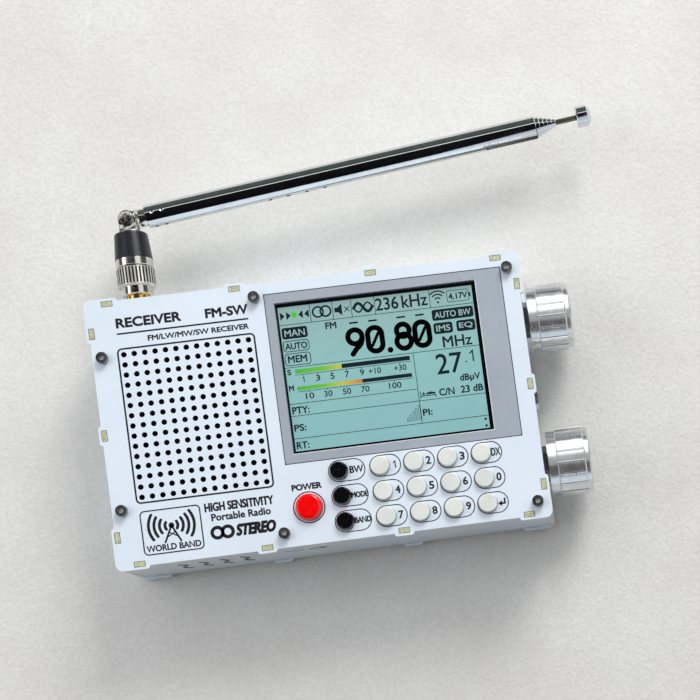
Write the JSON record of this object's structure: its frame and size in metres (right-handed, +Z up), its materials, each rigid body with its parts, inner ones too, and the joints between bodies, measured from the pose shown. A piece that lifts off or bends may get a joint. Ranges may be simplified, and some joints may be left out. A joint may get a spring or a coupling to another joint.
{
  "type": "shortwave receiver",
  "caption": "Pocket shortwave receiver: slotted board case, display, speaker grille, keypad, side knobs and a hinged telescopic antenna.",
  "frame": {"origin": "middle of the plane the receiver stands on: midway between the side walls and midway between the front and back faces", "axes": "+X to the receiver's right, where the knobs are; +Y to its back; +Z up, towards the antenna"},
  "size_m": [0.1765, 0.0342, 0.1431],
  "materials": {
    "panel_white": "white solder mask, satin",
    "wall_board": "white solder mask, satin, olive laminate ends",
    "screw_steel": "dark plated steel",
    "spacer_brass": "turned brass",
    "bezel_grey": "silver-grey, fine speckle",
    "display_panel": "backlit liquid crystal",
    "green_board": "green solder mask",
    "switch_black": "moulded",
    "battery_wrap": "heat-shrunk sleeve",
    "key_cream": "fine moulded",
    "key_black": "fine moulded",
    "power_red": "polished moulded",
    "speaker_steel": "pressed and painted",
    "cone_paper": "treated paper",
    "knob_aluminium": "turned and polished",
    "shaft_metal": "turned",
    "encoder_metal": "zinc plated",
    "nut_dark": "black plated",
    "socket_black": "moulded",
    "usb_shell": "nickel plated",
    "gold_plate": "gold plated",
    "nickel": "nickel plated, turned",
    "sleeve_black": "satin moulded",
    "antenna_chrome": "polished chrome"
  },
  "bodies": {
    "case": {"front_panel": "panel_white", "back_panel": "panel_white", "top_wall": "wall_board", "bottom_wall": "wall_board", "left_wall": "wall_board", "right_wall": "wall_board", "front_screws": "screw_steel", "rear_screws": "screw_steel", "spacers": "spacer_brass", "display_bezel": "bezel_grey", "lcd_module": "display_panel", "main_board": "green_board", "key_switches": "switch_black", "battery_pack": "battery_wrap", "speaker_frame": "speaker_steel", "speaker_cone": "cone_paper", "upper_encoder": "encoder_metal", "lower_encoder": "encoder_metal", "encoder_nuts": "nut_dark", "phones_socket": "socket_black", "phones_nut": "nut_dark", "usb_socket": "usb_shell", "antenna_jack": "gold_plate", "jack_nut": "nickel"},
    "power_button_body": {"power_button": "power_red"},
    "bandwidth_button_body": {"bandwidth_button": "key_black"},
    "mode_button_body": {"mode_button": "key_black"},
    "band_button_body": {"band_button": "key_black"},
    "key_one_body": {"key_one": "key_cream"},
    "key_two_body": {"key_two": "key_cream"},
    "key_three_body": {"key_three": "key_cream"},
    "key_band_step_body": {"key_band_step": "key_cream"},
    "key_four_body": {"key_four": "key_cream"},
    "key_five_body": {"key_five": "key_cream"},
    "key_six_body": {"key_six": "key_cream"},
    "key_zero_body": {"key_zero": "key_cream"},
    "key_seven_body": {"key_seven": "key_cream"},
    "key_eight_body": {"key_eight": "key_cream"},
    "key_nine_body": {"key_nine": "key_cream"},
    "key_enter_body": {"key_enter": "key_cream"},
    "upper_rotor_body": {"upper_rotor": "socket_black"},
    "lower_rotor_body": {"lower_rotor": "socket_black"},
    "upper_knob_body": {"upper_shaft": "shaft_metal", "upper_knob": "knob_aluminium"},
    "lower_knob_body": {"lower_shaft": "shaft_metal", "lower_knob": "knob_aluminium"},
    "coupling_ring_body": {"coupling_ring": "nickel"},
    "antenna_mount": {"plug_body": "nickel", "antenna_sleeve": "sleeve_black", "elbow_base": "nickel", "pivot_screw": "nickel"},
    "antenna_arm": {"antenna_knuckle": "nickel", "antenna_tube_1": "antenna_chrome"},
    "section_2": {"antenna_tube_2": "antenna_chrome"},
    "section_3": {"antenna_tube_3": "antenna_chrome"},
    "section_4": {"antenna_tube_4": "antenna_chrome"},
    "section_5": {"antenna_tube_5": "antenna_chrome"},
    "section_6": {"antenna_tube_6": "antenna_chrome"},
    "section_7": {"antenna_rod": "antenna_chrome", "tip_cap": "antenna_chrome"}
  },
  "joints": [
    {"name": "power_button_press", "type": "slide", "parent": "case", "child": "power_button_body", "axis": [0, 1, 0], "range_m": [0, 0.0005]},
    {"name": "bandwidth_button_press", "type": "slide", "parent": "case", "child": "bandwidth_button_body", "axis": [0, 1, 0], "range_m": [0, 0.0005]},
    {"name": "mode_button_press", "type": "slide", "parent": "case", "child": "mode_button_body", "axis": [0, 1, 0], "range_m": [0, 0.0005]},
    {"name": "band_button_press", "type": "slide", "parent": "case", "child": "band_button_body", "axis": [0, 1, 0], "range_m": [0, 0.0005]},
    {"name": "key_one_press", "type": "slide", "parent": "case", "child": "key_one_body", "axis": [0, 1, 0], "range_m": [0, 0.0005]},
    {"name": "key_two_press", "type": "slide", "parent": "case", "child": "key_two_body", "axis": [0, 1, 0], "range_m": [0, 0.0005]},
    {"name": "key_three_press", "type": "slide", "parent": "case", "child": "key_three_body", "axis": [0, 1, 0], "range_m": [0, 0.0005]},
    {"name": "key_band_step_press", "type": "slide", "parent": "case", "child": "key_band_step_body", "axis": [0, 1, 0], "range_m": [0, 0.0005]},
    {"name": "key_four_press", "type": "slide", "parent": "case", "child": "key_four_body", "axis": [0, 1, 0], "range_m": [0, 0.0005]},
    {"name": "key_five_press", "type": "slide", "parent": "case", "child": "key_five_body", "axis": [0, 1, 0], "range_m": [0, 0.0005]},
    {"name": "key_six_press", "type": "slide", "parent": "case", "child": "key_six_body", "axis": [0, 1, 0], "range_m": [0, 0.0005]},
    {"name": "key_zero_press", "type": "slide", "parent": "case", "child": "key_zero_body", "axis": [0, 1, 0], "range_m": [0, 0.0005]},
    {"name": "key_seven_press", "type": "slide", "parent": "case", "child": "key_seven_body", "axis": [0, 1, 0], "range_m": [0, 0.0005]},
    {"name": "key_eight_press", "type": "slide", "parent": "case", "child": "key_eight_body", "axis": [0, 1, 0], "range_m": [0, 0.0005]},
    {"name": "key_nine_press", "type": "slide", "parent": "case", "child": "key_nine_body", "axis": [0, 1, 0], "range_m": [0, 0.0005]},
    {"name": "key_enter_press", "type": "slide", "parent": "case", "child": "key_enter_body", "axis": [0, 1, 0], "range_m": [0, 0.0005]},
    {"name": "upper_knob_turn", "type": "hinge", "parent": "case", "child": "upper_rotor_body", "pos_m": [0.0716, 0, 0.0707], "axis": [1, 0, 0], "continuous": true},
    {"name": "upper_knob_push", "type": "slide", "parent": "upper_rotor_body", "child": "upper_knob_body", "axis": [-1, 0, 0], "range_m": [0, 0.0005], "stiffness_N_per_m": 600},
    {"name": "lower_knob_turn", "type": "hinge", "parent": "case", "child": "lower_rotor_body", "pos_m": [0.0716, 0, 0.0203], "axis": [1, 0, 0], "continuous": true},
    {"name": "lower_knob_push", "type": "slide", "parent": "lower_rotor_body", "child": "lower_knob_body", "axis": [-1, 0, 0], "range_m": [0, 0.0005], "stiffness_N_per_m": 600},
    {"name": "coupling_ring_turn", "type": "hinge", "parent": "case", "child": "coupling_ring_body", "pos_m": [-0.0574, 0, 0.1], "axis": [0, 0, 1], "range_deg": [0, 90]},
    {"name": "antenna_swivel", "type": "hinge", "parent": "case", "child": "antenna_mount", "pos_m": [-0.0574, 0, 0.121], "axis": [0, 0, 1], "continuous": true},
    {"name": "antenna_elbow", "type": "hinge", "parent": "antenna_mount", "child": "antenna_arm", "pos_m": [-0.0574, 0, 0.121], "axis": [0, -1, 0], "range_deg": [-6.6, 173.4]},
    {"name": "section_2_slide", "type": "slide", "parent": "antenna_arm", "child": "section_2", "axis": [0.9934, 0, 0.1149], "range_m": [0, 0.11]},
    {"name": "section_3_slide", "type": "slide", "parent": "section_2", "child": "section_3", "axis": [0.9934, 0, 0.1149], "range_m": [0, 0.11]},
    {"name": "section_4_slide", "type": "slide", "parent": "section_3", "child": "section_4", "axis": [0.9934, 0, 0.1149], "range_m": [0, 0.11]},
    {"name": "section_5_slide", "type": "slide", "parent": "section_4", "child": "section_5", "axis": [0.9934, 0, 0.1149], "range_m": [0, 0.11]},
    {"name": "section_6_slide", "type": "slide", "parent": "section_5", "child": "section_6", "axis": [0.9934, 0, 0.1149], "range_m": [0, 0.11]},
    {"name": "section_7_slide", "type": "slide", "parent": "section_6", "child": "section_7", "axis": [0.9934, 0, 0.1149], "range_m": [0, 0.11]}
  ]
}
